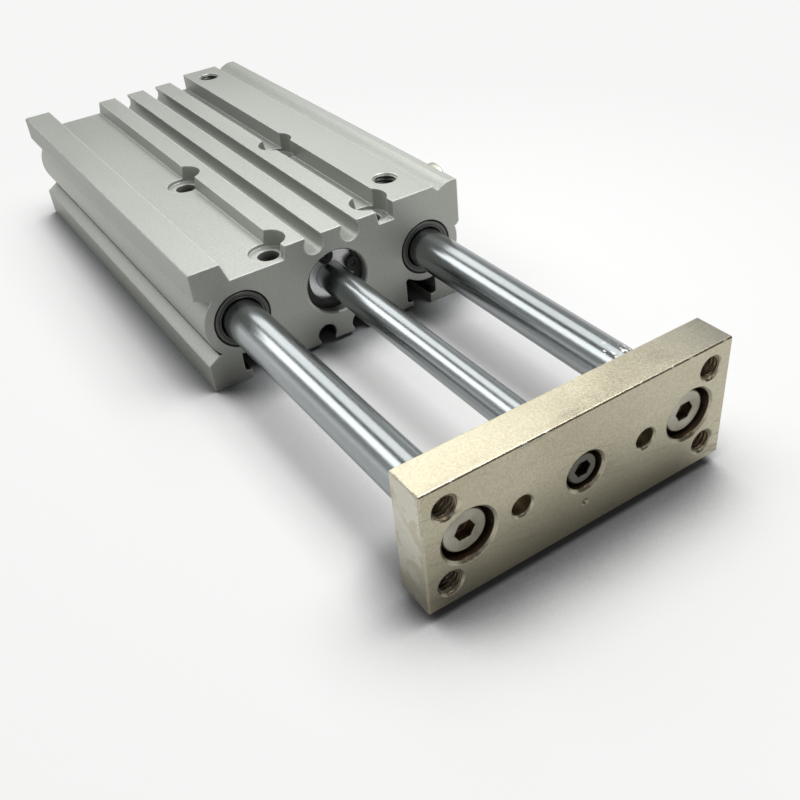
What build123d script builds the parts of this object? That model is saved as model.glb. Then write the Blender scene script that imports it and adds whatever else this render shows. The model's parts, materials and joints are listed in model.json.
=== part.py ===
from build123d import *
import os

# Guided pneumatic cylinder, in millimetres: a piston rod between two guide rods
# carries an end plate along a flat extruded body.
# The origin is on the plane of the feet, in the middle of the body's front end.
# X points to the right seen from the front, Y to the rear and Z up.

# Travel
stroke = 75.0
retracted_gap = 6.0
shown_travel = 57.75

# Clearances
running_clearance = 0.03
seat_clearance = 0.02
ring_play = 0.05
screw_clearance = 0.25

# Rods
guide_pitch = 41.0
guide_rod_diameter = 8.0
guide_rod_overhang = 13.0
piston_rod_diameter = 6.0
rod_chamfer = 0.6

# Cylinder bore and the pockets that hold its two covers
bore_diameter = 12.0
pocket_diameter = 13.1
mouth_chamfer = 0.35

# Snap rings
ring_setback = 2.1
ring_thickness = 1.0
ring_groove_depth = 0.45
ring_side_width = 1.15
ring_back_width = 1.75
ring_gap = 3.7
ring_gap_turn = 33.0
ring_lug_inset = 1.5
ring_lug_diameter = 3.2
ring_lug_hole = 1.2

# Covers, with their seals
rod_cover_flange = 5.15
rod_cover_nose = 3.9
nose_relief = 1.0
head_cover_length = 2.45
o_ring_section = 1.0
o_ring_setback = 2.2
rod_seal_length = 2.0
rod_seal_depth = 1.2
seal_lip_share = 0.25

# Piston, with what it wears
piston_length = 8.8
piston_clearance = 0.06
bumper_thickness = 1.2
bumper_diameter = 9.0
piston_spigot_diameter = 4.4
groove_land = 0.9
piston_seal_width = 1.6
piston_seal_depth = 1.3
magnet_width = 2.6
magnet_depth = 1.6
magnet_cover = 0.35
wear_ring_width = 1.6
wear_ring_depth = 0.7

# Guide bushes
bush_diameter = 10.8
bush_length = 12.0
bush_spacing = 26.0
bush_inner_chamfer = 0.35

# Body outline
bore_roof_wall = 0.9
bore_floor_wall = 1.8
rail_stand = 0.7
corner_round = 0.45
rail_width = 6.15
rail_slope = 1.3
channel_depth = 3.7
rib_drop = 1.0
rib_span = 19.75
rib_draft = 0.5
platform_start = 13.85
platform_end = 23.1
notch_depth = 1.2
notch_width = 1.25
notch_curve_reach = 0.55
notch_curve_rise = 0.3
strip_start = 27.0
side_wall = 2.3
left_recess_top = 20.2
left_undercut_width = 2.9
left_undercut_drop = 1.5
right_recess_top = 16.1
right_undercut_width = 0.7
right_undercut_drop = 0.7
recess_floor = 7.45
recess_lip_width = 2.4
recess_lip_drop = 1.5
middle_recess = 0.95
foot_chamfer = 0.4

# Slots along the body
tee_slot_x = 18.65
tee_head_width = 7.0
tee_neck_width = 4.4
tee_lip = 1.95
tee_head_height = 5.45
tee_corner_round = 0.6
tee_wall = 1.85
sensor_slot_x = 3.9
sensor_slot_diameter = 4.1
sensor_slot_neck = 3.35
sensor_slot_depth = 3.8

# Mounting holes through the body, tapped from below
mounting_spacing_x = 22.5
mounting_spacing_y = 40.0
mounting_setback = 5.0
mounting_hole_diameter = 4.3
mounting_thread = 5.0
mounting_thread_depth = 10.0
counterbore_diameter = 7.6
counterbore_depth = 4.5
dowel_diameter = 3.0
dowel_depth = 3.0

# Air ports
port_x = 18.4
port_front_setback = 10.1
port_rear_setback = 6.8
port_thread = 5.0
port_mouth_diameter = 5.4
port_depth = 4.8
side_port_drop = 4.55
side_port_depth = 5.5
passage_diameter = 1.6
passage_reach = 3.0
passage_drop = 7.4
plug_head_diameter = 7.8
plug_head_height = 2.1
plug_length = 5.0
plug_hex = 2.5
plug_hex_depth = 2.0
plug_sink = 0.5

# End plate
plate_width = 56.0
plate_height = 22.0
plate_thickness = 7.0
plate_bevel = 0.22
plate_tap_margin = 4.0
plate_thread = 4.0
plate_thread_mouth = 4.6
side_hole_spacing = 23.0
side_hole_diameter = 3.4
side_hole_mouth = 4.0
rod_seat_depth = 1.0
centre_mark_drop = 5.9
centre_mark_diameter = 1.25
centre_mark_depth = 0.45

# Screws in the end plate
guide_screw_shank = 4.0
guide_screw_head = 7.4
guide_screw_head_height = 2.6
guide_screw_hex = 3.05
guide_screw_length = 14.0
guide_counterbore = 8.8
guide_counterbore_chamfer = 0.45
guide_counterbore_depth = 3.75
piston_screw_shank = 3.0
piston_screw_head = 5.3
piston_screw_head_height = 2.6
piston_screw_hex = 2.6
piston_screw_length = 12.0
piston_counterbore = 6.5
piston_counterbore_chamfer = 0.45
piston_counterbore_depth = 3.35
hex_depth = 1.7
head_chamfer = 0.25

# Heights above the feet and the body's width, from the slots, bores and walls
axis_height = middle_recess + sensor_slot_depth + bore_floor_wall + pocket_diameter / 2
body_height = axis_height + pocket_diameter / 2 + bore_roof_wall + sensor_slot_depth + rib_drop
body_width = guide_pitch + bush_diameter + 2 * (side_wall + rail_stand)
side_port_height = body_height - side_port_drop

# Places along Y that follow from the sizes above
cover_setback = ring_setback + ring_thickness + ring_play
chamber_front = cover_setback + rod_cover_flange + rod_cover_nose
piston_stack = piston_length + 2 * bumper_thickness
chamber_rear = chamber_front + piston_stack + stroke
body_length = chamber_rear + head_cover_length + cover_setback
plate_back = -retracted_gap - shown_travel
plate_front = plate_back - plate_thickness
piston_rear = chamber_rear - bumper_thickness - shown_travel
piston_front = piston_rear - piston_length
guide_rod_end = body_length + guide_rod_overhang - shown_travel
guide_x = guide_pitch / 2
half_width = body_width / 2
platform_height = body_height
rib_height = body_height - rib_drop
channel_floor = body_height - channel_depth
port_places = {"front": port_front_setback, "rear": body_length - port_rear_setback}
sides = {"left": -1, "right": 1}


def along_y(diameter, start, end, x=0.0, z=axis_height):
    """A round bar or hole along Y from start to end."""
    plane = Plane((x, start, z), x_dir=(1, 0, 0), z_dir=(0, 1, 0))
    bar = Cylinder(diameter / 2, end - start, align=(Align.CENTER, Align.CENTER, Align.MIN))
    return plane * bar


def cone_y(start_diameter, end_diameter, start, end, x=0.0, z=axis_height):
    """A tapered bar or mouth along Y, wide or narrow at its start."""
    plane = Plane((x, start, z), x_dir=(1, 0, 0), z_dir=(0, 1, 0))
    height = end - start
    bar = Cone(start_diameter / 2, end_diameter / 2, height,
               align=(Align.CENTER, Align.CENTER, Align.MIN))
    return plane * bar


def upright(diameter, bottom, top, x, y):
    """A round bar or hole along Z."""
    bar = Cylinder(diameter / 2, top - bottom, align=(Align.CENTER, Align.CENTER, Align.MIN))
    return Pos(x, y, bottom) * bar


def outline(*points):
    return make_face(Polyline(*points, close=True))


def turned(*points, x=0.0):
    """A solid turned about a rod axis; each point is a radius and a place along Y."""
    return Pos(x, 0, axis_height) * revolve(outline(*points), Axis.Y)


def hexagon_y(across_flats, start, end, x=0.0, z=axis_height):
    """A six-sided socket along Y."""
    plane = Plane((x, start, z), x_dir=(1, 0, 0), z_dir=(0, 1, 0))
    socket = RegularPolygon(across_flats / 2, 6, major_radius=False)
    return plane * extrude(socket, amount=end - start)


# Sections of the body, drawn as X and height above the feet


def left_channel():
    wall = -half_width + rail_width
    rib = -rib_span / 2
    return outline((wall, platform_height), (wall + rail_slope, channel_floor),
                   (rib - rib_draft, channel_floor), (rib, rib_height), (rib, platform_height))


def right_channel():
    rib = rib_span / 2
    return outline((rib, platform_height), (rib, rib_height), (rib + rib_draft, channel_floor),
                   (platform_start, channel_floor), (platform_start, platform_height))


def rib_band():
    """The ribs between the two channels stand lower than the rails."""
    middle = platform_height - rib_drop / 2
    return Pos(0, middle) * Rectangle(rib_span, rib_drop)


def notch():
    """A groove with one straight and one curved flank beside the right strip."""
    bottom = (platform_end + notch_width, platform_height - notch_depth)
    top = (strip_start, platform_height)
    bulge = (bottom[0] + notch_curve_reach * (top[0] - bottom[0]),
             platform_height - notch_curve_rise * notch_depth)
    flank = Line((platform_end, platform_height), bottom)
    curve = ThreePointArc(bottom, bulge, top)
    return make_face([flank, curve, Line(top, (platform_end, platform_height))])


def side_recess(side, top, undercut_width, undercut_drop):
    """The hollow side above the foot, down to the round boss of the guide bore."""
    outer = side * (half_width + side_wall)
    edge = side * half_width
    inner = side * guide_x
    undercut_end = side * (half_width - undercut_width)
    lip_start = side * (half_width - recess_lip_width)
    lip_bottom = recess_floor - recess_lip_drop
    hollow = outline((outer, top), (edge, top), (undercut_end, top - undercut_drop),
                     (inner, top - undercut_drop), (inner, recess_floor), (lip_start, recess_floor),
                     (edge, lip_bottom), (outer, lip_bottom))
    boss = Pos(side * guide_x, axis_height) * Circle(bush_diameter / 2 + side_wall)
    return hollow - boss


def tee_slot(side):
    """A slot for nuts or bolt heads, with a roof that follows the guide bore."""
    x = side * tee_slot_x
    head = Pos(x, tee_lip + tee_head_height / 2) * RectangleRounded(
        tee_head_width, tee_head_height, tee_corner_round)
    boss = Pos(side * guide_x, axis_height) * Circle(bush_diameter / 2 + tee_wall)
    neck = Pos(x, tee_lip) * Rectangle(tee_neck_width, 2 * tee_lip)
    return (head - boss) + neck


def sensor_slot(side, surface, direction):
    """A round slot for a sensor, open through a neck at the surface."""
    x = side * sensor_slot_x
    centre = surface - direction * (sensor_slot_depth - sensor_slot_diameter / 2)
    neck_height = sensor_slot_depth
    neck = Pos(x, centre + direction * neck_height / 2) * Rectangle(sensor_slot_neck, neck_height)
    return Pos(x, centre) * Circle(sensor_slot_diameter / 2) + neck


def middle_hollow():
    return Pos(0, middle_recess / 2) * Rectangle(2 * tee_slot_x, middle_recess)


def body_section():
    section = Pos(0, body_height / 2) * Rectangle(body_width, body_height)
    section = fillet(section.vertices().group_by(Axis.Y)[-1], corner_round)
    section = chamfer(section.vertices().group_by(Axis.Y)[0], foot_chamfer)
    section -= left_channel() + right_channel() + rib_band() + notch()
    section -= side_recess(-1, left_recess_top, left_undercut_width, left_undercut_drop)
    section -= side_recess(1, right_recess_top, right_undercut_width, right_undercut_drop)
    section -= middle_hollow()
    for side in sides.values():
        section -= tee_slot(side)
        section -= sensor_slot(side, rib_height, 1)
        section -= sensor_slot(side, middle_recess, -1)
    return section


# Holes in the body


def cylinder_bore():
    groove = pocket_diameter + 2 * ring_groove_depth
    front_groove = ring_setback - ring_play
    rear_groove = body_length - ring_setback - ring_thickness
    groove_width = ring_thickness + ring_play
    wide_mouth = pocket_diameter + 2 * mouth_chamfer
    bore = along_y(bore_diameter, 0, body_length)
    bore += along_y(pocket_diameter, 0, cover_setback + rod_cover_flange)
    bore += along_y(pocket_diameter, chamber_rear, body_length)
    bore += along_y(groove, front_groove, front_groove + groove_width)
    bore += along_y(groove, rear_groove, rear_groove + groove_width)
    bore += cone_y(wide_mouth, pocket_diameter, 0, mouth_chamfer)
    bore += cone_y(pocket_diameter, wide_mouth, body_length - mouth_chamfer, body_length)
    return bore


def guide_bore(side):
    x = side * guide_x
    wide_mouth = bush_diameter + 2 * mouth_chamfer
    bore = along_y(bush_diameter, 0, body_length, x)
    bore += cone_y(wide_mouth, bush_diameter, 0, mouth_chamfer, x)
    bore += cone_y(bush_diameter, wide_mouth, body_length - mouth_chamfer, body_length, x)
    return bore


def mounting_holes():
    holes = []
    for side in sides.values():
        x = side * mounting_spacing_x / 2
        for y in (mounting_setback, mounting_setback + mounting_spacing_y):
            holes.append(upright(mounting_hole_diameter, 0, body_height, x, y))
            thread_end = middle_recess + mounting_thread_depth
            holes.append(upright(mounting_thread, 0, thread_end, x, y))
            floor = body_height - counterbore_depth
            holes.append(upright(counterbore_diameter, floor, body_height, x, y))
        middle = mounting_setback + mounting_spacing_y / 2
        holes.append(upright(dowel_diameter, 0, middle_recess + dowel_depth, x, middle))
    return holes


def top_port(y):
    mouth = (port_mouth_diameter - port_thread) / 2
    tap = upright(port_thread, body_height - port_depth, body_height, port_x, y)
    cone = Cone(port_thread / 2, port_mouth_diameter / 2, mouth,
                align=(Align.CENTER, Align.CENTER, Align.MIN))
    return tap + Pos(port_x, y, body_height - mouth) * cone


def side_port(y):
    """A tapped side port that opens into the top port behind it."""
    plane = Plane((half_width, y, side_port_height), x_dir=(0, 1, 0), z_dir=(-1, 0, 0))
    tap = Cylinder(port_thread / 2, side_port_depth,
                   align=(Align.CENTER, Align.CENTER, Align.MIN))
    passage = Cylinder(passage_diameter / 2, half_width - port_x,
                       align=(Align.CENTER, Align.CENTER, Align.MIN))
    return plane * (tap + passage)


def inner_passage(y):
    """A slanted air passage from the port into the cylinder bore."""
    start = Vector(port_x, y, body_height - port_depth + passage_diameter / 2)
    end = Vector(passage_reach, y, body_height - passage_drop)
    plane = Plane(start, x_dir=(0, 1, 0), z_dir=end - start)
    bar = Cylinder(passage_diameter / 2, (end - start).length,
                   align=(Align.CENTER, Align.CENTER, Align.MIN))
    return plane * bar


def cylinder_body():
    body = extrude(Plane.XZ * body_section(), amount=-body_length)
    body -= cylinder_bore()
    for side in sides.values():
        body -= guide_bore(side)
    for hole in mounting_holes():
        body -= hole
    for y in port_places.values():
        body -= top_port(y)
        body -= side_port(y)
        body -= inner_passage(y)
    return body


# What the body holds


def guide_bush(side, start):
    x = side * guide_x
    inner = guide_rod_diameter + 2 * running_clearance
    wide = inner + 2 * bush_inner_chamfer
    bush = along_y(bush_diameter, start, start + bush_length, x)
    bush -= along_y(inner, start, start + bush_length, x)
    bush -= cone_y(wide, inner, start, start + bush_inner_chamfer, x)
    bush -= cone_y(inner, wide, start + bush_length - bush_inner_chamfer, start + bush_length, x)
    return bush


def snap_ring(start):
    """An open ring, widest opposite the gap between its two drilled lugs."""
    pocket_radius = pocket_diameter / 2
    outer = pocket_radius + ring_groove_depth
    inner = pocket_radius - ring_side_width
    offset = ring_back_width - ring_side_width
    lug_x = ring_gap / 2 + ring_lug_diameter / 2
    lug_z = ((pocket_radius - ring_lug_inset) ** 2 - lug_x ** 2) ** 0.5
    ring = Circle(outer) - Pos(0, offset) * Circle(inner)
    for side in sides.values():
        ring += Pos(side * lug_x, lug_z) * Circle(ring_lug_diameter / 2)
    ring -= Pos(0, outer / 2) * Rectangle(ring_gap, outer)
    for side in sides.values():
        ring -= Pos(side * lug_x, lug_z) * Circle(ring_lug_hole / 2)
    ring = Rot(0, 0, -ring_gap_turn) * ring
    return Pos(0, start, axis_height) * extrude(Plane.XZ * ring, amount=-ring_thickness)


def o_ring_groove(outer, centre):
    """The groove profile under an O-ring at a cover's rim."""
    half = o_ring_section / 2 + seat_clearance
    depth = outer - o_ring_section
    return [(outer, centre - half), (depth, centre - half), (depth, centre + half), (outer, centre + half)]


def rod_cover():
    front = cover_setback
    shoulder = front + rod_cover_flange
    flange = pocket_diameter / 2 - seat_clearance
    nose = bore_diameter / 2 - nose_relief
    hole = piston_rod_diameter / 2 + running_clearance
    seal_end = chamber_front - nose_relief
    seal_start = seal_end - rod_seal_length
    seal_radius = piston_rod_diameter / 2 + rod_seal_depth
    groove = o_ring_groove(flange, front + o_ring_setback)
    return turned((hole, front), (flange, front), *groove, (flange, shoulder), (nose, shoulder),
                  (nose, chamber_front), (hole, chamber_front), (hole, seal_end),
                  (seal_radius, seal_end), (seal_radius, seal_start), (hole, seal_start))


def rod_seal():
    """A seal with two lips, seated in the nose of the rod cover."""
    end = chamber_front - nose_relief
    start = end - rod_seal_length
    inner = piston_rod_diameter / 2 + running_clearance / 2
    outer = piston_rod_diameter / 2 + rod_seal_depth
    waist = inner + seal_lip_share * rod_seal_depth
    lip = seal_lip_share * rod_seal_length
    return turned((inner, start), (outer, start), (outer, end), (inner, end), (inner, end - lip),
                  (waist, end - lip), (waist, start + lip), (inner, start + lip))


def o_ring(centre, wall_radius):
    radius = wall_radius - seat_clearance - o_ring_section / 2
    ring = Torus(radius, o_ring_section / 2 - seat_clearance / 2)
    return Pos(0, centre, axis_height) * Rot(90, 0, 0) * ring


def head_cover():
    flange = pocket_diameter / 2 - seat_clearance
    rear = chamber_rear + head_cover_length
    groove = o_ring_groove(flange, chamber_rear + head_cover_length / 2)
    return turned((0, chamber_rear), (flange, chamber_rear), *groove, (flange, rear), (0, rear))


def side_plug(y, head_out):
    """A screw plug for a side port, with a head outside or sunk below the surface."""
    plane = Plane((half_width, y, side_port_height), x_dir=(0, 1, 0), z_dir=(1, 0, 0))
    low = (Align.CENTER, Align.CENTER, Align.MIN)
    high = (Align.CENTER, Align.CENTER, Align.MAX)
    top = plug_head_height if head_out else -plug_sink
    shank = Cylinder(port_thread / 2, plug_length, align=high)
    if not head_out:
        shank = Pos(0, 0, top) * Cylinder(port_thread / 2, plug_length - plug_sink, align=high)
    plug = shank
    if head_out:
        head = Cylinder(plug_head_diameter / 2, plug_head_height, align=low)
        plug += chamfer(head.edges().group_by(Axis.Z)[-1], head_chamfer)
    socket = extrude(RegularPolygon(plug_hex / 2, 6, major_radius=False), amount=-plug_hex_depth)
    return plane * (plug - Pos(0, 0, top) * socket)


# What slides


def counterbored_hole(x, counterbore, chamfer_width, depth, shank):
    """The screw hole of a rod, with its counterbore and the seat of the rod's end."""
    hole = along_y(shank + 2 * screw_clearance, plate_front, plate_back, x)
    hole += along_y(counterbore, plate_front, plate_front + depth, x)
    wide = counterbore + 2 * chamfer_width
    hole += cone_y(wide, counterbore, plate_front, plate_front + chamfer_width, x)
    return hole


def tapped_hole(x, z, diameter, mouth):
    chamfer_width = (mouth - diameter) / 2
    hole = along_y(diameter, plate_front, plate_back, x, z)
    hole += cone_y(mouth, diameter, plate_front, plate_front + chamfer_width, x, z)
    hole += cone_y(diameter, mouth, plate_back - chamfer_width, plate_back, x, z)
    return hole


def end_plate():
    middle = (plate_front + plate_back) / 2
    tap_x = plate_width / 2 - plate_tap_margin
    tap_z = plate_height / 2 - plate_tap_margin
    plate = Pos(0, middle, axis_height) * Box(plate_width, plate_thickness, plate_height)
    plate = chamfer(plate.edges(), plate_bevel)
    plate -= counterbored_hole(0, piston_counterbore, piston_counterbore_chamfer,
                               piston_counterbore_depth, piston_screw_shank)
    seat_start = plate_back - rod_seat_depth
    plate -= along_y(piston_rod_diameter + 2 * seat_clearance, seat_start, plate_back)
    for side in sides.values():
        plate -= counterbored_hole(side * guide_x, guide_counterbore, guide_counterbore_chamfer,
                                   guide_counterbore_depth, guide_screw_shank)
        rod_seat = guide_rod_diameter + 2 * seat_clearance
        plate -= along_y(rod_seat, seat_start, plate_back, side * guide_x)
        plate -= tapped_hole(side * side_hole_spacing / 2, axis_height, side_hole_diameter, side_hole_mouth)
        for level in (-1, 1):
            z = axis_height + level * tap_z
            plate -= tapped_hole(side * tap_x, z, plate_thread, plate_thread_mouth)
    mark_z = axis_height - centre_mark_drop
    plate -= cone_y(centre_mark_diameter, centre_mark_diameter / 4, plate_front,
                    plate_front + centre_mark_depth, 0, mark_z)
    return plate


def rod_with_thread(diameter, end, thread, screw_end, x=0.0):
    """A rod seated in the plate, drilled for its screw and chamfered at its far end."""
    start = plate_back - rod_seat_depth
    rod = along_y(diameter, start, end - rod_chamfer, x)
    rod += cone_y(diameter, diameter - 2 * rod_chamfer, end - rod_chamfer, end, x)
    return rod - along_y(thread + 2 * seat_clearance, start, screw_end + screw_clearance, x)


def guide_rod(side):
    screw_end = plate_front + guide_counterbore_depth + guide_screw_length
    return rod_with_thread(guide_rod_diameter, guide_rod_end, guide_screw_shank, screw_end,
                           side * guide_x)


def piston_rod():
    screw_end = plate_front + piston_counterbore_depth + piston_screw_length
    rod = rod_with_thread(piston_rod_diameter, piston_front, piston_screw_shank, screw_end)
    spigot = along_y(piston_spigot_diameter, piston_front - rod_chamfer, piston_rear)
    return rod + spigot


def cap_screw(x, shank, head, head_height, length, hexagon, seat):
    """A screw with a hexagon socket, seated on the floor of its counterbore."""
    top = seat - head_height
    screw = along_y(shank, seat, seat + length, x)
    screw += along_y(head, top + head_chamfer, seat, x)
    screw += cone_y(head - 2 * head_chamfer, head, top, top + head_chamfer, x)
    return screw - hexagon_y(hexagon, top, top + hex_depth, x)


def guide_rod_screws():
    seat = plate_front + guide_counterbore_depth
    screws = [cap_screw(side * guide_x, guide_screw_shank, guide_screw_head, guide_screw_head_height,
                        guide_screw_length, guide_screw_hex, seat) for side in sides.values()]
    return Compound(children=screws)


def piston_rod_screw():
    seat = plate_front + piston_counterbore_depth
    return cap_screw(0, piston_screw_shank, piston_screw_head, piston_screw_head_height,
                     piston_screw_length, piston_screw_hex, seat)


# Grooves of the piston, from its front
piston_radius = bore_diameter / 2 - piston_clearance
seal_start = piston_front + groove_land
magnet_start = seal_start + piston_seal_width + groove_land
wear_start = piston_rear - groove_land - wear_ring_width


def groove(start, width, depth):
    return [(piston_radius, start), (piston_radius - depth, start),
            (piston_radius - depth, start + width), (piston_radius, start + width)]


def piston():
    hole = piston_spigot_diameter / 2 + seat_clearance
    return turned((hole, piston_front), (piston_radius, piston_front),
                  *groove(seal_start, piston_seal_width, piston_seal_depth),
                  *groove(magnet_start, magnet_width, magnet_depth),
                  *groove(wear_start, wear_ring_width, wear_ring_depth),
                  (piston_radius, piston_rear), (hole, piston_rear))


def band(start, width, depth, outer):
    """A ring that fills a groove of the piston, out to its own radius."""
    inner = piston_radius - depth
    gap = seat_clearance
    return turned((inner + gap, start + gap), (outer, start + gap),
                  (outer, start + width - gap), (inner + gap, start + width - gap))


def piston_seal():
    """A seal with a waist between its two lips."""
    outer = bore_diameter / 2 - running_clearance
    inner = piston_radius - piston_seal_depth + seat_clearance
    start = seal_start + seat_clearance
    end = seal_start + piston_seal_width - seat_clearance
    lip = seal_lip_share * (end - start)
    waist = outer - seal_lip_share * piston_seal_depth
    return turned((inner, start), (outer, start), (outer, start + lip), (waist, (start + end) / 2),
                  (outer, end - lip), (outer, end), (inner, end))


def bumper(start, hole):
    inner = hole / 2 + seat_clearance
    return turned((inner, start), (bumper_diameter / 2, start),
                  (bumper_diameter / 2, start + bumper_thickness), (inner, start + bumper_thickness))


# Every piece by its name
pieces = {"cylinder_body": cylinder_body()}
for name, side in sides.items():
    pieces["guide_bush_front_" + name] = guide_bush(side, 0)
    pieces["guide_bush_inner_" + name] = guide_bush(side, bush_spacing)
    pieces["guide_rod_" + name] = guide_rod(side)
pieces["rod_cover"] = rod_cover()
pieces["rod_seal"] = rod_seal()
pieces["rod_cover_o_ring"] = o_ring(cover_setback + o_ring_setback, pocket_diameter / 2)
pieces["rod_cover_snap_ring"] = snap_ring(ring_setback)
pieces["head_cover"] = head_cover()
pieces["head_cover_o_ring"] = o_ring(chamber_rear + head_cover_length / 2, pocket_diameter / 2)
pieces["head_cover_snap_ring"] = snap_ring(body_length - ring_setback - ring_thickness)
pieces["side_plug_front"] = side_plug(port_places["front"], True)
pieces["side_plug_rear"] = side_plug(port_places["rear"], False)
pieces["end_plate"] = end_plate()
pieces["piston_rod"] = piston_rod()
pieces["piston"] = piston()
pieces["piston_seal"] = piston_seal()
pieces["piston_magnet"] = band(magnet_start, magnet_width, magnet_depth, piston_radius - magnet_cover)
pieces["piston_wear_ring"] = band(wear_start, wear_ring_width, wear_ring_depth,
                                  bore_diameter / 2 - running_clearance)
pieces["piston_bumper_front"] = bumper(piston_front - bumper_thickness, piston_rod_diameter)
pieces["piston_bumper_rear"] = bumper(piston_rear, 0)
pieces["guide_rod_screws"] = guide_rod_screws()
pieces["piston_rod_screw"] = piston_rod_screw()

os.makedirs("parts", exist_ok=True)
for name, piece in pieces.items():
    export_step(piece, "parts/" + name + ".step")
    print(name, round(piece.volume, 1))
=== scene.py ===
import json
import math
import bpy
import numpy as np
from mathutils import Matrix, Vector


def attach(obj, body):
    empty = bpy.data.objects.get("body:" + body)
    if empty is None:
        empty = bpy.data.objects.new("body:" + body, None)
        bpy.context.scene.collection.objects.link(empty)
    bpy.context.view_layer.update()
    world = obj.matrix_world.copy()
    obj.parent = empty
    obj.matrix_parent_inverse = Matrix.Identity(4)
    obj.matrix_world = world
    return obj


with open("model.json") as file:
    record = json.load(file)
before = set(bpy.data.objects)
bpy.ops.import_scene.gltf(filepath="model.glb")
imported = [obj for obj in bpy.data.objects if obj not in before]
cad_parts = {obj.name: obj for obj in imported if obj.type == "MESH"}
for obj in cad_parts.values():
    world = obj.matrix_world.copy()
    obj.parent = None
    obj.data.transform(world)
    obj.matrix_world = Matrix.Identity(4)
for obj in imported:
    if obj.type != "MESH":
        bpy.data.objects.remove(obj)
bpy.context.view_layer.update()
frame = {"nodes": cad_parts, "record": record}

mm = 0.001
nodes = frame["nodes"]
print("frame loaded:", len(nodes), "nodes")

guideX = 20.5 * mm         # from the middle to a guide rod
axisHeight = 13.1 * mm     # of the three rods above the floor
halfPlate = 28.0 * mm


# Node helpers

def addNode(tree, kind, inputs=None, **settings):
    # one node with its settings and the plain values of its sockets
    node = tree.nodes.new(kind)
    for key, value in settings.items():
        setattr(node, key, value)
    for key, value in (inputs or {}).items():
        node.inputs[key].default_value = value
    return node


def newGroup(name, inputs, outputs):
    # a shader group with named sockets, each given as a label, a kind and for an input its value
    tree = bpy.data.node_groups.new(name, "ShaderNodeTree")
    for label, kind, value in inputs:
        socket = tree.interface.new_socket(label, in_out="INPUT", socket_type="NodeSocket" + kind)
        socket.default_value = value
    for label, kind in outputs:
        tree.interface.new_socket(label, in_out="OUTPUT", socket_type="NodeSocket" + kind)
    return tree, tree.nodes.new("NodeGroupInput"), tree.nodes.new("NodeGroupOutput")


def placeGroup(tree, group, inputs=None):
    # a group node with the values that this material gives it
    node = tree.nodes.new("ShaderNodeGroup")
    node.node_tree = group
    for key, value in (inputs or {}).items():
        node.inputs[key].default_value = value
    return node


def calc(tree, operation, first, second=0.0, clamp=False):
    # a Math node fed by sockets or plain numbers
    node = addNode(tree, "ShaderNodeMath", operation=operation, use_clamp=clamp)
    for index, value in enumerate((first, second)):
        if hasattr(value, "is_output"):
            tree.links.new(value, node.inputs[index])
        else:
            node.inputs[index].default_value = value
    return node.outputs[0]


def product(tree, *factors, clamp=False):
    # the product of two or more sockets or numbers, the last step clamped to 0 and 1 if asked
    result = factors[0]
    for factor in factors[1:-1]:
        result = calc(tree, "MULTIPLY", result, factor)
    return calc(tree, "MULTIPLY", result, factors[-1], clamp)


def mapRange(tree, value, low, high, toLow=0.0, toHigh=1.0):
    # low and high are numbers or sockets, and either may be the larger
    node = addNode(tree, "ShaderNodeMapRange", {"To Min": toLow, "To Max": toHigh})
    tree.links.new(value, node.inputs["Value"])
    for key, end in (("From Min", low), ("From Max", high)):
        if hasattr(end, "is_output"):
            tree.links.new(end, node.inputs[key])
        else:
            node.inputs[key].default_value = end
    return node.outputs["Result"]


def mixColour(tree, factor, first, second, blend="MIX"):
    node = addNode(tree, "ShaderNodeMix", data_type="RGBA", blend_type=blend)
    for socket, value in ((node.inputs[0], factor), (node.inputs[6], first), (node.inputs[7], second)):
        if hasattr(value, "is_output"):
            tree.links.new(value, socket)
        elif isinstance(value, float):
            socket.default_value = value
        else:
            socket.default_value = (*value, 1.0)
    return node.outputs[2]


# Shared effects

edgeShape = dict(flat=0.985, turned=0.9, spotLow=0.3, spotHigh=0.55, least=0.45, samples=6)


def makeEdgeGroup():
    # how far a softened normal turns from the true one, broken up by a fine noise
    tree, entry, leave = newGroup("edgeWearAndLight", [("Radius", "Float", 0.0002), ("Breakup", "Float", 900.0)],
                                  [("Mask", "Float"), ("Normal", "Vector")])
    bevel = addNode(tree, "ShaderNodeBevel", samples=edgeShape["samples"])
    tree.links.new(entry.outputs["Radius"], bevel.inputs["Radius"])
    geometry = tree.nodes.new("ShaderNodeNewGeometry")
    dot = addNode(tree, "ShaderNodeVectorMath", operation="DOT_PRODUCT")
    tree.links.new(bevel.outputs["Normal"], dot.inputs[0])
    tree.links.new(geometry.outputs["Normal"], dot.inputs[1])
    place = tree.nodes.new("ShaderNodeTexCoord")
    noise = addNode(tree, "ShaderNodeTexNoise", {"Detail": 3.0, "Roughness": 0.6})
    tree.links.new(place.outputs["Object"], noise.inputs["Vector"])
    tree.links.new(entry.outputs["Breakup"], noise.inputs["Scale"])
    turn = mapRange(tree, dot.outputs["Value"], edgeShape["flat"], edgeShape["turned"])
    spots = mapRange(tree, noise.outputs["Fac"], edgeShape["spotLow"], edgeShape["spotHigh"],
                     edgeShape["least"])
    tree.links.new(product(tree, turn, spots, clamp=True), leave.inputs["Mask"])
    tree.links.new(bevel.outputs["Normal"], leave.inputs["Normal"])
    return tree


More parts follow.
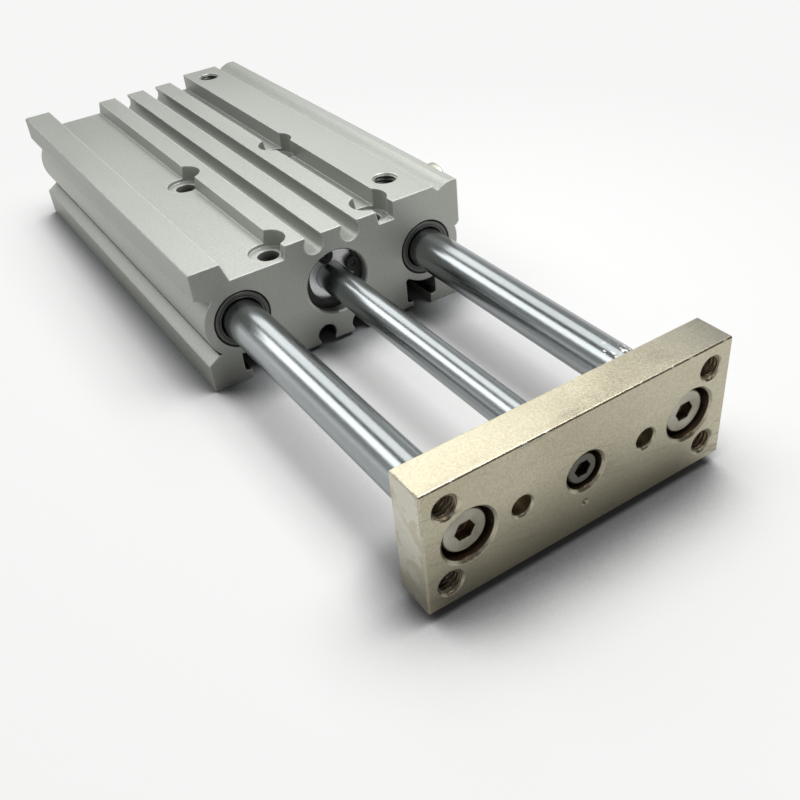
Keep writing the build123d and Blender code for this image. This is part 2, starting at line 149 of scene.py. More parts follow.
def makeGrainGroup():
    # a noise from 0 to 1, squeezed along Y by Stretch
    tree, entry, leave = newGroup("grain", [("Scale", "Float", 3000.0), ("Stretch", "Float", 1.0),
                                            ("Detail", "Float", 2.0)], [("Value", "Float")])
    place = tree.nodes.new("ShaderNodeTexCoord")
    split = tree.nodes.new("ShaderNodeSeparateXYZ")
    join = tree.nodes.new("ShaderNodeCombineXYZ")
    tree.links.new(place.outputs["Object"], split.inputs[0])
    tree.links.new(split.outputs["X"], join.inputs["X"])
    tree.links.new(product(tree, split.outputs["Y"], entry.outputs["Stretch"]), join.inputs["Y"])
    tree.links.new(split.outputs["Z"], join.inputs["Z"])
    noise = tree.nodes.new("ShaderNodeTexNoise")
    tree.links.new(join.outputs[0], noise.inputs["Vector"])
    tree.links.new(entry.outputs["Scale"], noise.inputs["Scale"])
    tree.links.new(entry.outputs["Detail"], noise.inputs["Detail"])
    tree.links.new(noise.outputs["Fac"], leave.inputs["Value"])
    return tree


recessShape = dict(open=0.75, samples=8)


def makeRecessGroup():
    # how far a point lies in a hollow of its own piece: 0 on open faces, 1 deep in a slot or hole
    tree, entry, leave = newGroup("hollowShade", [("Distance", "Float", 0.004), ("Deep", "Float", 0.1)],
                                  [("Mask", "Float")])
    hollow = addNode(tree, "ShaderNodeAmbientOcclusion", samples=recessShape["samples"], only_local=True)
    tree.links.new(entry.outputs["Distance"], hollow.inputs["Distance"])
    mask = mapRange(tree, hollow.outputs["AO"], recessShape["open"], entry.outputs["Deep"])
    tree.links.new(mask, leave.inputs["Mask"])
    return tree


def makeAxisGroup():
    # the distance from an axis along Y and from its mirror image, with the place across, along and up
    tree, entry, leave = newGroup("axisDistance", [("Centre X", "Float", 0.0), ("Centre Z", "Float", 0.0)],
                                  [("Distance", "Float"), ("Along", "Float"), ("Height", "Float"),
                                   ("Across", "Float")])
    place = tree.nodes.new("ShaderNodeTexCoord")
    split = tree.nodes.new("ShaderNodeSeparateXYZ")
    tree.links.new(place.outputs["Object"], split.inputs[0])
    mirrored = calc(tree, "ABSOLUTE", split.outputs["X"])
    across = calc(tree, "SUBTRACT", mirrored, entry.outputs["Centre X"])
    up = calc(tree, "SUBTRACT", split.outputs["Z"], entry.outputs["Centre Z"])
    square = calc(tree, "ADD", product(tree, across, across), product(tree, up, up))
    tree.links.new(calc(tree, "SQRT", square), leave.inputs["Distance"])
    tree.links.new(split.outputs["Y"], leave.inputs["Along"])
    tree.links.new(split.outputs["Z"], leave.inputs["Height"])
    tree.links.new(split.outputs["X"], leave.inputs["Across"])
    return tree


scratchShape = dict(squeeze=0.035, gateScale=90.0, gateLow=0.5, gateHigh=0.62)


def makeScratchGroup():
    # thin lines where a long noise, turned by Angle about Y, passes its middle value
    tree, entry, leave = newGroup("scratches", [("Angle", "Float", 0.3), ("Scale", "Float", 200.0),
                                                ("Width", "Float", 0.02)], [("Mask", "Float")])
    place = tree.nodes.new("ShaderNodeTexCoord")
    turn = addNode(tree, "ShaderNodeVectorRotate", rotation_type="Y_AXIS")
    tree.links.new(place.outputs["Object"], turn.inputs["Vector"])
    tree.links.new(entry.outputs["Angle"], turn.inputs["Angle"])
    squeeze = addNode(tree, "ShaderNodeVectorMath", operation="MULTIPLY")
    squeeze.inputs[1].default_value = (scratchShape["squeeze"], 1.0, 1.0)
    tree.links.new(turn.outputs[0], squeeze.inputs[0])
    noise = addNode(tree, "ShaderNodeTexNoise", {"Detail": 1.0, "Distortion": 0.1})
    tree.links.new(squeeze.outputs[0], noise.inputs["Vector"])
    tree.links.new(entry.outputs["Scale"], noise.inputs["Scale"])
    away = calc(tree, "ABSOLUTE", calc(tree, "SUBTRACT", noise.outputs["Fac"], 0.5))
    line = mapRange(tree, away, 0.0, entry.outputs["Width"], 1.0, 0.0)
    gate = addNode(tree, "ShaderNodeTexNoise", {"Scale": scratchShape["gateScale"], "Detail": 1.0})
    tree.links.new(place.outputs["Object"], gate.inputs["Vector"])
    shown = mapRange(tree, gate.outputs["Fac"], scratchShape["gateLow"], scratchShape["gateHigh"])
    tree.links.new(product(tree, line, shown, clamp=True), leave.inputs["Mask"])
    return tree


flatShape = dict(aside=0.96, along=0.98, soft=0.1)


def makeFacingGroup():
    # 1 where the true normal points along Facing, which picks out one flat, with gaps where a noise is low
    tree, entry, leave = newGroup("facing", [("Facing", "Vector", (0.0, 0.0, 1.0)),
                                             ("Breakup", "Float", 500.0), ("Gaps", "Float", 0.36)],
                                  [("Mask", "Float")])
    geometry = tree.nodes.new("ShaderNodeNewGeometry")
    turned = addNode(tree, "ShaderNodeVectorTransform", vector_type="NORMAL", convert_from="WORLD",
                     convert_to="OBJECT")
    tree.links.new(geometry.outputs["True Normal"], turned.inputs[0])
    dot = addNode(tree, "ShaderNodeVectorMath", operation="DOT_PRODUCT")
    tree.links.new(turned.outputs[0], dot.inputs[0])
    tree.links.new(entry.outputs["Facing"], dot.inputs[1])
    place = tree.nodes.new("ShaderNodeTexCoord")
    noise = addNode(tree, "ShaderNodeTexNoise", {"Detail": 3.0, "Roughness": 0.6})
    tree.links.new(place.outputs["Object"], noise.inputs["Vector"])
    tree.links.new(entry.outputs["Breakup"], noise.inputs["Scale"])
    along = mapRange(tree, dot.outputs["Value"], flatShape["aside"], flatShape["along"])
    whole = calc(tree, "ADD", entry.outputs["Gaps"], flatShape["soft"])
    gaps = mapRange(tree, noise.outputs["Fac"], entry.outputs["Gaps"], whole)
    tree.links.new(product(tree, along, gaps, clamp=True), leave.inputs["Mask"])
    return tree


edgeGroup = makeEdgeGroup()
grainGroup = makeGrainGroup()
recessGroup = makeRecessGroup()
axisGroup = makeAxisGroup()
scratchGroup = makeScratchGroup()
facingGroup = makeFacingGroup()
print("shared effects made")


# Metal with wear and painted light: each add function lays one kind of wear, tint, painted shade or painted
# highlight over the coat if the look has it

noiseLow, noiseHigh = 0.3, 0.7        # the part of a noise that is stretched to 0 and 1


def newMaterial(name, **values):
    material = bpy.data.materials.new(name)
    material.use_nodes = True
    tree = material.node_tree
    shader = tree.nodes["Principled BSDF"]
    for key, value in values.items():
        shader.inputs[key.replace("_", " ")].default_value = value
    return material, tree, shader


def addScratches(tree, look, coat):
    scratch = look.get("scratch")
    for angle in scratch["angles"] if scratch else ():
        lines = placeGroup(tree, scratchGroup, {"Angle": angle, "Scale": scratch["scale"]})
        amount = product(tree, lines.outputs[0], scratch["amount"])
        coat["base"] = mixColour(tree, amount, coat["base"], scratch["colour"])


def addWornAndLitEdges(tree, look, coat):
    # the edge colour is partly worn bare metal and partly a painted highlight, and on screw heads and the
    # plug a painted shade round the rim; the dark chips are real wear
    wornLitEdge = product(tree, coat["edge"], look["edgeAmount"])
    coat["base"] = mixColour(tree, wornLitEdge, coat["base"], look["edge"])
    chip = look.get("chip")
    if chip:
        chips = placeGroup(tree, grainGroup, {"Scale": chip["scale"], "Detail": 3.0})
        shown = mapRange(tree, chips.outputs[0], chip["low"], chip["high"])
        chipped = product(tree, shown, coat["edge"], clamp=True)
        coat["base"] = mixColour(tree, chipped, coat["base"], chip["colour"])


def addRearShade(tree, look, coat):
    # painted shade: the top faces grow darker towards the rear
    back = look.get("rearShade")
    if back:
        spot = placeGroup(tree, axisGroup)
        tone = mapRange(tree, spot.outputs["Along"], back["start"], back["end"], 0.0, 1.0 - back["tone"])
        upper = mapRange(tree, spot.outputs["Height"], back["low"], back["high"])
        coat["base"] = mixColour(tree, product(tree, tone, upper), coat["base"], (0.0, 0.0, 0.0))


def addTopShade(tree, look, coat):
    # painted shade: one face turns to a darker colour from start to end across the piece
    topShade = look.get("topShade")
    if topShade:
        spot = placeGroup(tree, axisGroup)
        amount = mapRange(tree, spot.outputs["Across"], topShade["start"], topShade["end"], 0.0, topShade["amount"])
        upper = mapRange(tree, spot.outputs["Height"], topShade["low"], topShade["high"])
        coat["base"] = mixColour(tree, product(tree, amount, upper), coat["base"], topShade["colour"])


def addFlats(tree, look, coat):
    # a patchy tint on each flat that faces the given way: dark brown on the plate's top front chamfer, and
    # pale on its left end, where it is partly painted light
    for flat in look.get("flats", ()):
        patch = placeGroup(tree, facingGroup, {"Facing": flat["facing"], "Breakup": flat["breakup"],
                                               "Gaps": flat["gaps"]})
        amount = product(tree, patch.outputs[0], flat["amount"])
        coat["base"] = mixColour(tree, amount, coat["base"], flat["colour"])
        coat["dull"].append(product(tree, patch.outputs[0], flat["dull"]))


def addHollowShade(tree, look, coat):
    # painted shade in hollows, with a darker tone that grows downwards and makes hollows low down darker
    # still
    low = look.get("lowShade")
    if low:
        spot = placeGroup(tree, axisGroup)
        depth = mapRange(tree, spot.outputs["Height"], low["start"], low["end"])
        if "fade" in low:
            fade = mapRange(tree, spot.outputs["Across"], low["fade"][0], low["fade"][1], 1.0, 0.0)
            depth = product(tree, depth, fade)
        coat["base"] = mixColour(tree, product(tree, depth, low["amount"]), coat["base"], low["colour"])
    hollow = placeGroup(tree, recessGroup, {"Distance": look["recessReach"], "Deep": look["deep"]})
    hollowShadeMask = product(tree, hollow.outputs[0], look["recessAmount"])
    shallow = look.get("shallow")
    if shallow:
        spot = placeGroup(tree, axisGroup)
        kept = mapRange(tree, spot.outputs["Height"], shallow["low"], shallow["high"], 1.0, shallow["keep"])
        hollowShadeMask = product(tree, hollowShadeMask, kept)
    coat["base"] = mixColour(tree, hollowShadeMask, coat["base"], look["hollowShade"])
    if low:
        slots = placeGroup(tree, recessGroup, {"Distance": look["recessReach"], "Deep": low["deep"]})
        coat["base"] = mixColour(tree, product(tree, depth, slots.outputs[0]), coat["base"], look["hollowShade"])


def addNicks(tree, look, coat):
    # bright flakes on one side of the piece, between two places along it
    nicks = look.get("nicks")
    if nicks:
        soft = nicks["soft"]
        spot = placeGroup(tree, axisGroup)
        before = mapRange(tree, spot.outputs["Along"], nicks["end"], nicks["end"] - soft)
        after = mapRange(tree, spot.outputs["Along"], nicks["last"] - soft, nicks["last"])
        side = mapRange(tree, spot.outputs["Across"], nicks["side"], nicks["side"] + soft)
        flakes = placeGroup(tree, grainGroup, {"Scale": nicks["scale"], "Stretch": nicks["stretch"]})
        marks = mapRange(tree, flakes.outputs[0], nicks["low"], nicks["high"])
        marks = product(tree, marks, product(tree, before, after, side), clamp=True)
        coat["base"] = mixColour(tree, marks, coat["base"], nicks["colour"])
        coat["dull"].append(marks)


def addRings(tree, look, coat):
    # a ring or disc about an axis along Y, in front of the place back: painted shade in gaps, bores, holes
    # and on the middle screw head, and a dark groove line on the bushes
    for ring in look.get("rings", ()):
        soft = ring["soft"]
        axis = placeGroup(tree, axisGroup, {"Centre X": ring["x"], "Centre Z": axisHeight})
        inside = mapRange(tree, axis.outputs["Distance"], ring["inner"] - soft, ring["inner"])
        outside = mapRange(tree, axis.outputs["Distance"], ring["outer"] + soft, ring["outer"])
        front = mapRange(tree, axis.outputs["Along"], ring["back"] + soft, ring["back"])
        band = product(tree, inside, outside, front, clamp=True)
        amount = product(tree, band, ring["amount"])
        coat["base"] = mixColour(tree, amount, coat["base"], ring["colour"])


def setMetallic(tree, look, coat, shader):
    # marks and worn edges that should look matt take some of the metallic value away
    if "edgeDull" in look:
        coat["dull"].insert(0, product(tree, coat["edge"], look["metallic"] * look["edgeDull"]))
    if not coat["dull"]:
        shader.inputs["Metallic"].default_value = look["metallic"]
        return
    dull = coat["dull"][0]
    for more in coat["dull"][1:]:
        dull = calc(tree, "ADD", dull, more)
    tree.links.new(calc(tree, "SUBTRACT", look["metallic"], dull, True), shader.inputs["Metallic"])


def wearMetal(name, look):
    # the base colour runs from dark to light with large blotches and is multiplied by a fine grain
    material, tree, shader = newMaterial(name)
    edge = placeGroup(tree, edgeGroup, {"Radius": look["edgeRadius"], "Breakup": look["edgeBreakup"]})
    grain = placeGroup(tree, grainGroup, {"Scale": look["grainScale"], "Stretch": look["grainStretch"]})
    blotch = placeGroup(tree, grainGroup, {"Scale": look["blotchScale"], "Stretch": look["blotchStretch"],
                                           "Detail": 4.0})
    blotchTone = mapRange(tree, blotch.outputs[0], noiseLow, noiseHigh)
    grainTone = mapRange(tree, grain.outputs[0], noiseLow, noiseHigh)
    base = mixColour(tree, blotchTone, look["dark"], look["light"])
    speck = mixColour(tree, grainTone, look["speckDark"], (1.0, 1.0, 1.0))
    base = mixColour(tree, look["speckAmount"], base, speck, "MULTIPLY")
    coat = dict(base=base, edge=edge.outputs["Mask"], dull=[])
    for addWear in (addScratches, addWornAndLitEdges, addRearShade, addTopShade, addFlats, addHollowShade, addNicks,
                    addRings):
        addWear(tree, look, coat)
    tree.links.new(coat["base"], shader.inputs["Base Color"])
    rough = mapRange(tree, blotch.outputs[0], noiseLow, noiseHigh, *look["roughness"])
    rough = calc(tree, "ADD", rough, product(tree, grainTone, look["grainRough"]), True)
    tree.links.new(rough, shader.inputs["Roughness"])
    setMetallic(tree, look, coat, shader)
    bump = addNode(tree, "ShaderNodeBump", {"Strength": look["bump"], "Distance": look["bumpDepth"]})
    tree.links.new(grain.outputs[0], bump.inputs["Height"])
    tree.links.new(edge.outputs["Normal"], bump.inputs["Normal"])
    tree.links.new(bump.outputs["Normal"], shader.inputs["Normal"])
    return material


# Looks of the finishes

# painted shade: a black ring in the body round each guide bush, where the gap round the bush lies in shade
boreGapShade = dict(x=guideX, inner=5.3 * mm, outer=5.78 * mm, back=0.45 * mm, soft=0.05 * mm, amount=0.9,
            colour=(0.02, 0.02, 0.02))
# the body's near-white edge colour is partly worn metal and partly a painted highlight
bodyLook = dict(metallic=0.6, dark=(0.47, 0.486, 0.442), light=(0.52, 0.536, 0.492),
                speckDark=(0.8, 0.8, 0.8), speckAmount=0.8,
                edge=(0.98, 0.985, 0.96), edgeAmount=0.8, edgeRadius=0.0004, edgeBreakup=700.0,
                edgeDull=0.6,
                rearShade=dict(start=5 * mm, end=100 * mm, low=20 * mm, high=21 * mm, tone=0.76),
                lowShade=dict(colour=(0.24, 0.245, 0.225), amount=0.45, start=10 * mm, end=4 * mm, deep=0.5),
                hollowShade=(0.02, 0.02, 0.02), recessAmount=0.92, recessReach=0.006, deep=0.12,
                shallow=dict(low=19.5 * mm, high=20.5 * mm, keep=0.2),
                rings=[boreGapShade],
                grainScale=2600.0, grainStretch=0.8, blotchScale=60.0, blotchStretch=0.3,
                roughness=(0.38, 0.48), grainRough=0.06, bump=0.25, bumpDepth=0.00004)

# the plate's counterbores and side holes: a brown tint that is partly the plate's own and partly painted
# shade
hollowTintShade = dict(inner=-1.0, soft=0.04 * mm, amount=0.9, colour=(0.085, 0.045, 0.025))
guideBoreTintShade = dict(hollowTintShade, x=guideX, outer=4.42 * mm, back=-66.9 * mm)
pistonBoreTintShade = dict(hollowTintShade, x=0.0, outer=3.27 * mm, back=-67.3 * mm)
sideHoleTintShade = dict(hollowTintShade, x=11.5 * mm, outer=1.72 * mm, back=0.0, amount=0.75, colour=(0.33, 0.28, 0.18))
# dark brown patches on the chamfer along the plate's top front edge
darkLedge = dict(facing=(0.0, -0.707, 0.707), colour=(0.10, 0.075, 0.04), amount=0.85, breakup=500.0,
                  gaps=0.33, dull=0.0)
# the plate's left end painted paler: partly pale patches and partly painted light
paleLitEnd = dict(facing=(-1.0, 0.0, 0.0), colour=(0.9, 0.87, 0.76), amount=0.75, breakup=230.0,
               gaps=0.42, dull=0.35)
# the plate's pale edge colour is partly worn metal and partly a painted highlight
plateLook = dict(metallic=0.85, dark=(0.55, 0.51, 0.38), light=(0.67, 0.63, 0.485),
                 speckDark=(0.72, 0.70, 0.64), speckAmount=0.8,
                 scratch=dict(colour=(0.32, 0.30, 0.235), amount=0.7, scale=230.0, angles=(0.1, -0.3)),
                 edge=(1.0, 0.98, 0.88), edgeAmount=0.85, edgeRadius=0.00026, edgeBreakup=900.0,
                 edgeDull=0.4,
                 chip=dict(colour=(0.12, 0.09, 0.06), scale=600.0, low=0.54, high=0.6),
                 # painted shade on the plate's top face towards its right end
                 topShade=dict(start=10 * mm, end=halfPlate, low=23.95 * mm, high=24.05 * mm, amount=0.75,
                            colour=(0.27, 0.265, 0.23)),
                 flats=[darkLedge, paleLitEnd],
                 # painted shade towards the bottom of the plate's front, fading at the right end
                 lowShade=dict(colour=(0.22, 0.195, 0.14), amount=0.85, start=17 * mm, end=2 * mm, deep=0.1,
                               fade=(19 * mm, 27 * mm)),
                 hollowShade=(0.13, 0.07, 0.035), recessAmount=0.9, recessReach=0.005, deep=0.3,
                 rings=[guideBoreTintShade, pistonBoreTintShade, sideHoleTintShade],
                 grainScale=3000.0, grainStretch=1.0, blotchScale=75.0, blotchStretch=1.0,
                 roughness=(0.24, 0.36), grainRough=0.06, bump=0.35, bumpDepth=0.00005)

rodLook = dict(metallic=1.0, dark=(0.31, 0.333, 0.337), light=(0.42, 0.447, 0.453),
               speckDark=(0.7, 0.7, 0.7), speckAmount=0.25,
               edge=(0.85, 0.85, 0.85), edgeAmount=0.3, edgeRadius=0.0001, edgeBreakup=900.0,
               hollowShade=(0.2, 0.2, 0.2), recessAmount=0.0, recessReach=0.001, deep=0.1,
               nicks=dict(end=-52.0 * mm, last=-56.5 * mm, side=16.0 * mm, soft=2.0 * mm, scale=1500.0,
                          stretch=0.5, low=0.575, high=0.635, colour=(0.88, 0.87, 0.82)),
               grainScale=3200.0, grainStretch=0.2, blotchScale=140.0, blotchStretch=0.15,
               roughness=(0.18, 0.25), grainRough=0.03, bump=0.03, bumpDepth=0.00003)

# the dark edge colour is a painted shade round the rims of the screw heads and the plug, and hollowShade a
# painted shade in the sockets
screwLook = dict(metallic=1.0, dark=(0.30, 0.275, 0.22), light=(0.56, 0.54, 0.46),
                 speckDark=(0.8, 0.8, 0.8), speckAmount=0.7,
                 edge=(0.3, 0.26, 0.2), edgeAmount=0.6, edgeRadius=0.0003, edgeBreakup=1200.0,
                 hollowShade=(0.15, 0.095, 0.06), recessAmount=0.88, recessReach=0.003, deep=0.4,
                 grainScale=2500.0, grainStretch=1.0, blotchScale=220.0, blotchStretch=1.0,
                 roughness=(0.28, 0.4), grainRough=0.08, bump=0.15, bumpDepth=0.00003)
# painted shade over the middle screw's head
middleHeadShade = dict(x=0.0, inner=-1.0, outer=2.55 * mm, back=0.0, soft=0.1 * mm, amount=0.85,
                  colour=(0.1, 0.095, 0.08))

bushGroove = dict(x=guideX, inner=4.66 * mm, outer=4.78 * mm, back=0.5 * mm, soft=0.04 * mm, amount=0.85,
                  colour=(0.01, 0.01, 0.01))
# painted shade inside the bush's mouth
bushMouthShade = dict(bushGroove, inner=3.5 * mm, outer=4.3 * mm, back=20 * mm, soft=0.05 * mm, amount=0.9)
bushLook = dict(screwLook, metallic=0.7, dark=(0.10, 0.10, 0.09), light=(0.15, 0.15, 0.14),
                edge=(0.2, 0.2, 0.19), roughness=(0.35, 0.45), rings=[bushGroove, bushMouthShade])

coverLook = dict(screwLook, dark=(0.80, 0.81, 0.81), light=(0.88, 0.89, 0.89), edge=(0.9, 0.88, 0.84),
                 edgeRadius=0.0001, roughness=(0.3, 0.4), hollowShade=(0.3, 0.3, 0.3), recessAmount=0.3, deep=0.1)
ringLook = dict(screwLook, metallic=0.4, dark=(0.012, 0.012, 0.014), light=(0.03, 0.03, 0.034),
                edge=(0.12, 0.12, 0.12), edgeAmount=0.4, roughness=(0.3, 0.42))
plugLook = dict(screwLook, dark=(0.50, 0.50, 0.40), light=(0.62, 0.61, 0.50), roughness=(0.25, 0.35))
rubberLook = dict(screwLook, metallic=0.0, dark=(0.02, 0.02, 0.02), light=(0.04, 0.04, 0.04),
                  edge=(0.07, 0.07, 0.07), edgeAmount=0.2, roughness=(0.55, 0.65))
magnetLook = dict(screwLook, metallic=0.5, dark=(0.07, 0.07, 0.075), light=(0.12, 0.12, 0.125),
                  edge=(0.2, 0.2, 0.2), roughness=(0.5, 0.6))
wearRingLook = dict(rubberLook, dark=(0.66, 0.62, 0.54), light=(0.76, 0.72, 0.64), edge=(0.8, 0.78, 0.7))

slotLooks = {
    "body_aluminium": bodyLook, "cover_aluminium": coverLook, "plate_nickel": plateLook,
    "rod_chrome": rodLook, "screw_steel": dict(screwLook, rings=[middleHeadShade]), "bush_grey": bushLook,
    "ring_black": ringLook, "plug_brass": plugLook, "seal_rubber": rubberLook,
    "magnet_dark": magnetLook, "wear_plastic": wearRingLook,
}
slotMaterials = {slot: wearMetal(slot.replace("_", " "), look) for slot, look in slotLooks.items()}
for entry in frame["record"]["subparts"]:
    mesh = nodes[entry["node"]].data
    mesh.materials.clear()
    mesh.materials.append(slotMaterials[entry["material_slot"]])
print("materials set:", len(slotMaterials))


# Threads in the tapped holes

# the thread colours are darker copies of the plate's and body's finishes: painted shade in the tapped holes,
# with a brown tint that is partly the plate's own
plateThreadShadedLook = dict(plateLook, rings=(), flats=(), metallic=0.7, dark=(0.10, 0.06, 0.032),
                       light=(0.38, 0.28, 0.17), edge=(0.7, 0.6, 0.43), hollowShade=(0.045, 0.024, 0.013),
                       recessReach=0.003)
bodyThreadShadedLook = dict(bodyLook, rings=(), shallow=None, dark=(0.1, 0.11, 0.09), light=(0.27, 0.285, 0.245),
                      lowShade=dict(bodyLook["lowShade"], amount=0.0, deep=0.1),
                      hollowShade=(0.035, 0.04, 0.032), recessAmount=0.9, recessReach=0.004, deep=0.45)
threadMaterials = {"plate": wearMetal("thread brown shaded", plateThreadShadedLook),
                   "body": wearMetal("thread grey shaded", bodyThreadShadedLook)}

# in millimetres: crest, wall and pitch of the thread, where it starts and ends along its axis, and its holes
threadRows = {
    "plateThread": dict(material="plate", slot="plate_nickel", body="slide", along="Y",
                        crest=1.66, wall=1.995, pitch=0.7, start=-70.4, end=-64.1, around=40,
                        places=[(-24, 6.1), (24, 6.1), (-24, 20.1), (24, 20.1)]),
    "portThread": dict(material="body", slot="body_aluminium", body="housing", along="Z",
                       crest=2.12, wall=2.495, pitch=0.8, start=20.7, end=25.0, around=40,
                       places=[(18.4, 10.1), (18.4, 97.2)]),
    "footThread": dict(material="body", slot="body_aluminium", body="housing", along="Z",
                       crest=2.17, wall=2.495, pitch=0.8, start=1.05, end=10.85, around=32,
                       places=[(-11.25, 5), (11.25, 5), (-11.25, 45), (11.25, 45)]),
}
stepsPerPitch = 4
rootClearance = 0.02


def threadGrid(row):
    # rings of points: the radius swings between crest and wall as length / pitch minus the turn goes
    # from one whole number to the next, and a ring at the wall closes each end
    length = row["end"] - row["start"]
    count = int(length / row["pitch"] * stepsPerPitch) + 1
    turn = np.linspace(0.0, 2 * np.pi, row["around"], endpoint=False)
    height = np.linspace(0.0, length, count)
    phase = (height[:, None] / row["pitch"] - turn[None, :] / (2 * np.pi)) % 1.0
    swing = 1.0 - np.abs(2.0 * phase - 1.0)
    root = row["wall"] - rootClearance
    radius = row["crest"] + (root - row["crest"]) * swing
    wallRing = np.full((1, row["around"]), row["wall"])
    radius = np.vstack([wallRing, radius, wallRing])
    height = np.concatenate([[0.0], height, [length]])[:, None] + np.zeros((1, row["around"]))
    grid = np.stack([radius * np.cos(turn), radius * np.sin(turn), height], axis=-1)
    rings = np.arange(count + 2)[:, None] * row["around"]
    first = rings + np.arange(row["around"])[None, :]
    beside = rings + (np.arange(row["around"]) + 1)[None, :] % row["around"]
    faces = np.stack([first, np.roll(first, -1, axis=0), np.roll(beside, -1, axis=0), beside], axis=-1)
    return grid.reshape(-1, 3), faces.reshape(-1, 4)


def placeThread(name, row, points, faces, place):
    # place is across and up for a hole along Y, and across and along for one along Z
    if row["along"] == "Y":
        moved = np.stack([points[:, 0] + place[0], points[:, 2] + row["start"], points[:, 1] + place[1]],
                         axis=-1)
        faces = faces[:, ::-1]
    else:
        moved = points + np.array([place[0], place[1], row["start"]])
    mesh = bpy.data.meshes.new(name)
    mesh.from_pydata((moved * mm).tolist(), [], faces.tolist())
    mesh.materials.append(threadMaterials[row["material"]])
    piece = bpy.data.objects.new(name, mesh)
    bpy.context.scene.collection.objects.link(piece)
    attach(piece, row["body"])


for rowName, row in threadRows.items():
    threadPoints, threadFaces = threadGrid(row)
    for number, place in enumerate(row["places"]):
        placeThread(rowName + str(number + 1), row, threadPoints, threadFaces, place)
print("threads made:", ", ".join(threadRows))


# Floor

# contactShadow and plateContactShadow are painted shadows on the floor under the pieces, darker in front of
# the plate
floorLook = dict(size=12.0, drop=0.00005, paper=(0.77, 0.775, 0.765), bounce=(0.32, 0.32, 0.315),
                 mirrored=(0.6, 0.6, 0.595), roughness=0.9, specular=0.1,
                 contactShadow=(0.23, 0.235, 0.24), contactReach=0.012, samples=14, open=0.97, touching=0.6,
                 plateContactShadow=(0.16, 0.162, 0.166), plateReach=0.0195, plateFrom=-0.05, plateTo=-0.072,
                 near=0.05, far=0.15, glow=0.42, white=(0.92, 0.925, 0.915))


def seenDirectly(tree):
    # 1 for rays from the camera, a mirror-like surface or glass, which see the white background
    path = tree.nodes.new("ShaderNodeLightPath")
    seen = calc(tree, "MAXIMUM", path.outputs["Is Camera Ray"], path.outputs["Is Glossy Ray"])
    return path, calc(tree, "MAXIMUM", seen, path.outputs["Is Transmission Ray"])


def makeFloorMaterial():
    # white paper that shines evenly far off and keeps the shadow near by, with a painted contact shadow that
    # is darkest under the pieces' edges
    look = floorLook
    material, tree, shader = newMaterial("floor paper", Roughness=look["roughness"],
                                         Specular_IOR_Level=look["specular"])
    path, seen = seenDirectly(tree)
    place = tree.nodes.new("ShaderNodeTexCoord")
    split = tree.nodes.new("ShaderNodeSeparateXYZ")
    tree.links.new(place.outputs["Object"], split.inputs[0])
    hollow = addNode(tree, "ShaderNodeAmbientOcclusion", samples=look["samples"])
    reach = mapRange(tree, split.outputs["Y"], look["plateFrom"], look["plateTo"],
                     look["contactReach"], look["plateReach"])
    tree.links.new(reach, hollow.inputs["Distance"])
    # painted contact shadow where the floor lies close under a piece
    contactShadowMask = mapRange(tree, hollow.outputs["AO"], look["open"], look["touching"])
    front = mapRange(tree, split.outputs["Y"], look["plateFrom"], look["plateTo"])
    contactShadow = mixColour(tree, front, look["contactShadow"], look["plateContactShadow"])
    paper = mixColour(tree, path.outputs["Is Glossy Ray"], look["paper"], look["mirrored"])
    paper = mixColour(tree, contactShadowMask, paper, contactShadow)
    tree.links.new(mixColour(tree, seen, look["bounce"], paper), shader.inputs["Base Color"])
    distance = addNode(tree, "ShaderNodeVectorMath", operation="LENGTH")
    tree.links.new(place.outputs["Object"], distance.inputs[0])
    away = mapRange(tree, distance.outputs["Value"], look["near"], look["far"], look["glow"])
    away = product(tree, away, calc(tree, "SUBTRACT", 1.0, contactShadowMask))
    shine = addNode(tree, "ShaderNodeEmission", {"Color": (*look["white"], 1.0)})
    mix = tree.nodes.new("ShaderNodeMixShader")
    tree.links.new(product(tree, away, seen), mix.inputs[0])
    tree.links.new(shader.outputs[0], mix.inputs[1])
    tree.links.new(shine.outputs[0], mix.inputs[2])
    tree.links.new(mix.outputs[0], tree.nodes["Material Output"].inputs["Surface"])
    return material


def makeFloor():
    # one square, a hair below the part
    half, level = floorLook["size"] / 2, -floorLook["drop"]
    mesh = bpy.data.meshes.new("studioFloor")
    corners = [(-half, -half, level), (half, -half, level), (half, half, level), (-half, half, level)]
    mesh.from_pydata(corners, [], [(0, 1, 2, 3)])
    mesh.materials.append(makeFloorMaterial())
    floor = bpy.data.objects.new("studioFloor", mesh)
    bpy.context.scene.collection.objects.link(floor)


# World, lamps and camera

worldLook = dict(light=0.17, white=0.91, low=0.1, high=0.3)


def makeWorld():
    # plain light, and near the horizon the camera and mirror-like metal see the pale backdrop
    world = bpy.data.worlds.new("studio")
    bpy.context.scene.world = world
    world.use_nodes = True
    tree = world.node_tree
    background = tree.nodes["Background"]
    background.inputs["Color"].default_value = (1.0, 1.0, 1.0, 1.0)
    place = tree.nodes.new("ShaderNodeTexCoord")
    split = tree.nodes.new("ShaderNodeSeparateXYZ")
    tree.links.new(place.outputs["Generated"], split.inputs[0])
    level = mapRange(tree, split.outputs["Z"], worldLook["high"], worldLook["low"], 0.0,
                     worldLook["white"] - worldLook["light"])
    _, seen = seenDirectly(tree)
    strength = calc(tree, "ADD", product(tree, level, seen), worldLook["light"])
    tree.links.new(strength, background.inputs["Strength"])


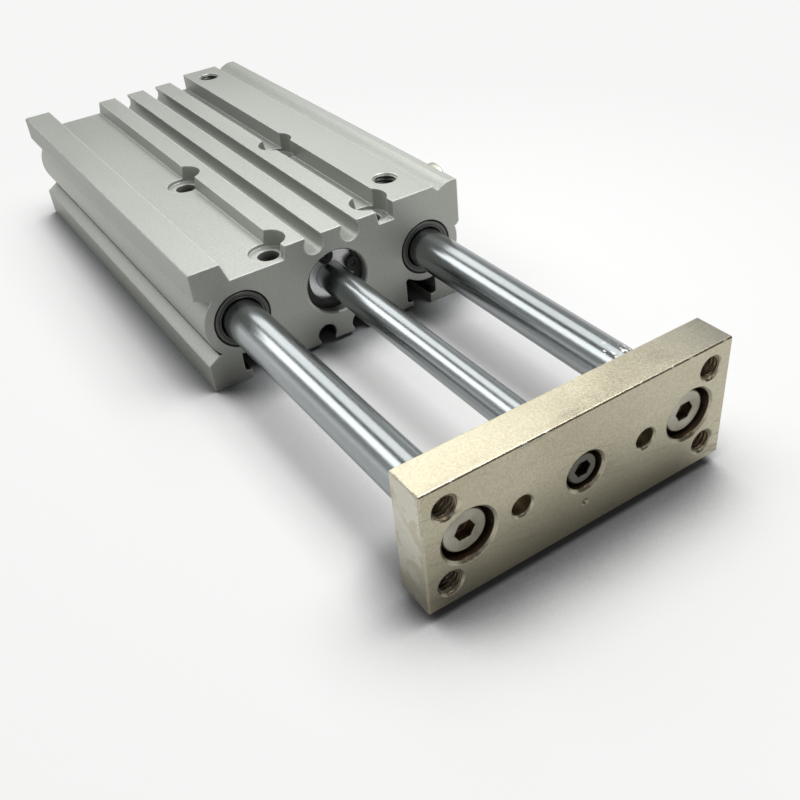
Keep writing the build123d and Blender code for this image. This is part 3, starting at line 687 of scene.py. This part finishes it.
lampLooks = {
    "topLeftStrip": dict(place=(-0.185, 0.275, 0.345), target=(0.0, 0.05, 0.0),
                         size=(0.19, 0.49), power=0.85),
    "topRightStrip": dict(place=(0.155, 0.275, 0.37), target=(0.02, 0.05, 0.0),
                          size=(0.25, 0.49), power=0.79),
    "topRightFront": dict(place=(0.135, -0.08, 0.37), target=(0.0, -0.02, 0.0), size=(0.21, 0.22), power=1.3),
    "leftFill": dict(place=(-0.5, 0.5, 0.22), target=(0.0, 0.0, 0.0), size=(0.5, 0.4), power=0.16),
    "rightFill": dict(place=(0.55, 0.5, 0.35), target=(0.0, 0.0, 0.0), size=(0.3, 0.4), power=0.12),
    "frontFill": dict(place=(0.15, -0.75, 0.3), target=(0.0, -0.02, 0.0), size=(0.5, 0.3), power=0.15),
}


def makeLamp(name, look):
    # the lamp looks at its target, with its long side along Y
    lamp = bpy.data.lights.new(name, "AREA")
    lamp.shape = "RECTANGLE"
    lamp.size, lamp.size_y = look["size"]
    lamp.energy = look["power"]
    lampObject = bpy.data.objects.new(name, lamp)
    bpy.context.scene.collection.objects.link(lampObject)
    away = (Vector(look["place"]) - Vector(look["target"])).normalized()
    side = Vector((0.0, 1.0, 0.0)).cross(away).normalized()
    turn = Matrix((side, away.cross(side), away)).transposed().to_4x4()
    lampObject.matrix_world = Matrix.Translation(look["place"]) @ turn


cameraLook = dict(place=(-71.44 * mm, -146.67 * mm, 105.55 * mm), heading=29.26, down=36.98, roll=-6.255,
                  lens=43.19, sensor=36.0, nearest=5 * mm)


def makeCamera():
    # heading turns from +Y towards +X, down tips below the horizon, roll turns about the view
    camera = bpy.data.cameras.new("camera")
    camera.lens = cameraLook["lens"]
    camera.sensor_width = cameraLook["sensor"]
    camera.clip_start = cameraLook["nearest"]
    cameraObject = bpy.data.objects.new("camera", camera)
    bpy.context.scene.collection.objects.link(cameraObject)
    turn = Matrix.Rotation(math.radians(-cameraLook["heading"]), 4, "Z")
    tip = Matrix.Rotation(math.radians(90 - cameraLook["down"]), 4, "X")
    roll = Matrix.Rotation(math.radians(cameraLook["roll"]), 4, "Z")
    cameraObject.matrix_world = Matrix.Translation(cameraLook["place"]) @ turn @ tip @ roll
    bpy.context.scene.camera = cameraObject


makeFloor()
makeWorld()
for lampName, lampLook in lampLooks.items():
    makeLamp(lampName, lampLook)
makeCamera()
bpy.context.scene.view_settings.view_transform = "Standard"
print("studio ready")
